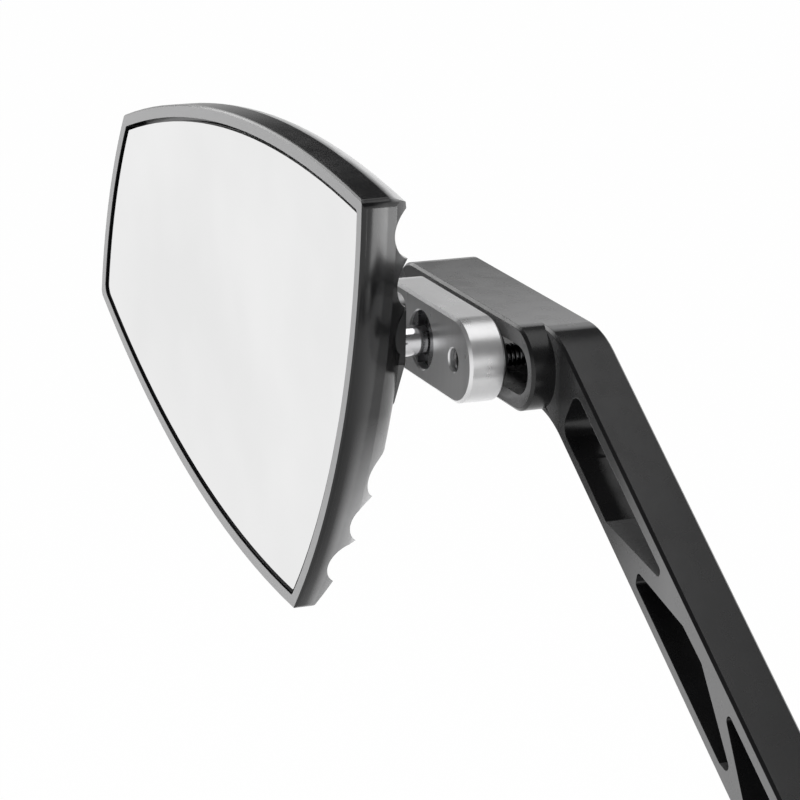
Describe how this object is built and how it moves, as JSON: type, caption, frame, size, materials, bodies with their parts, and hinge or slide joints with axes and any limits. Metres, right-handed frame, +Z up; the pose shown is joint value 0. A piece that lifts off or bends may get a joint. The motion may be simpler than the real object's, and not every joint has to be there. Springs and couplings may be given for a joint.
{
  "type": "motorcycle mirror",
  "caption": "Bar-end style handlebar mirror: shield-shaped head on a ball stud, pivoting link in a slotted truss arm, threaded mounting stud.",
  "frame": {"origin": "on the mounting stud's axis, at the lower face of the washer under the arm's foot", "axes": "+Z up along the mounting stud away from its free end; the slotted block runs along X with the head on the -X side; the glass faces -Y, toward the rider"},
  "size_m": [0.37, 0.0661, 0.1811],
  "materials": {
    "arm_black": "black anodised, satin",
    "head_black": "black anodised, satin",
    "link_silver": "brushed",
    "stud_polished": "polished",
    "ring_dark": "machined",
    "black_steel": "black oxide",
    "spacer_black": "matte",
    "zinc_steel": "zinc plated",
    "inner_steel": "plain",
    "seat_plastic": "matte",
    "pad_foam": "matte",
    "glass_face": "polished"
  },
  "bodies": {
    "arm": {"arm": "arm_black", "mounting_stud": "zinc_steel", "stem_nut": "zinc_steel", "stem_washer": "zinc_steel"},
    "carriage": {"pivot_screw": "black_steel", "pivot_washer": "black_steel", "lock_washer": "black_steel", "pivot_spacer": "spacer_black"},
    "link": {"link_plate": "link_silver", "retaining_ring": "ring_dark", "stud_washer": "seat_plastic"},
    "stud": {"ball_stud": "stud_polished"},
    "seat": {"seat_rear": "seat_plastic", "seat_front": "seat_plastic"},
    "head": {"mirror_housing": "head_black", "mirror_glass": "glass_face", "glass_pad": "pad_foam", "pressure_ring": "inner_steel", "disc_spring": "inner_steel", "seat_plug": "inner_steel"}
  },
  "joints": [
    {"name": "slot_slide", "type": "slide", "parent": "arm", "child": "carriage", "axis": [1, 0, 0], "range_m": [-0.05, 0.012]},
    {"name": "link_swing", "type": "hinge", "parent": "carriage", "child": "link", "pos_m": [-0.15682, -0.0131, 0.10913], "axis": [0, 1, 0], "range_deg": [-45, 45]},
    {"name": "stud_turn", "type": "hinge", "parent": "link", "child": "stud", "pos_m": [-0.17732, -0.0248, 0.10913], "axis": [0, 1, 0], "range_deg": [-45, 45]},
    {"name": "head_pan", "type": "hinge", "parent": "stud", "child": "seat", "pos_m": [-0.17732, -0.0407, 0.10913], "axis": [0, 0, 1], "range_deg": [-8, 8]},
    {"name": "head_tilt", "type": "hinge", "parent": "seat", "child": "head", "pos_m": [-0.17732, -0.0407, 0.10913], "axis": [1, 0, 0], "range_deg": [-8, 8]}
  ]
}
